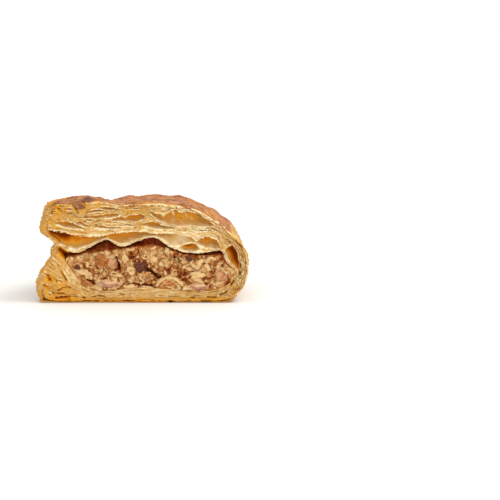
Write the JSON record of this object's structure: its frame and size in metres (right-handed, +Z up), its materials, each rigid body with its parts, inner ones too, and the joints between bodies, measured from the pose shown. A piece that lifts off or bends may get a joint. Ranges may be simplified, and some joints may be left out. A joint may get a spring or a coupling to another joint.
{
  "type": "puff pastry empanada half",
  "caption": "Half of a filled puff pastry turnover, cut across: flaky layers with open bubbles, a sprung sealed rim, a folded edge and a coarse minced filling.",
  "frame": {"origin": "centre of the bounding box, at the base that the pastry rests on", "axes": "+Z up; -Y faces out of the cut face; +X towards the folded edge, -X towards the sealed edge"},
  "size_m": [0.0958, 0.073, 0.0468],
  "materials": {
    "baked_pastry": "baked puff pastry: browned, lightly egg-washed top, pale cream to amber layers inside",
    "mince": "moist cooked mince, coarse crumbs from cream to red-brown",
    "raisin": "dark wrinkled dried fruit with a soft sheen",
    "meat": "cooked meat, moist",
    "onion": "cooked onion, slightly translucent and moist"
  },
  "bodies": {
    "root": {"pastry": "baked_pastry", "filling": "mince", "raisin_large": "raisin", "raisin_left": "raisin", "raisin_right": "raisin", "meat_chunk_left": "meat", "meat_chunk_right": "meat", "onion_slice_left": "onion", "onion_slice_right": "onion", "onion_petal": "onion"}
  },
  "joints": []
}
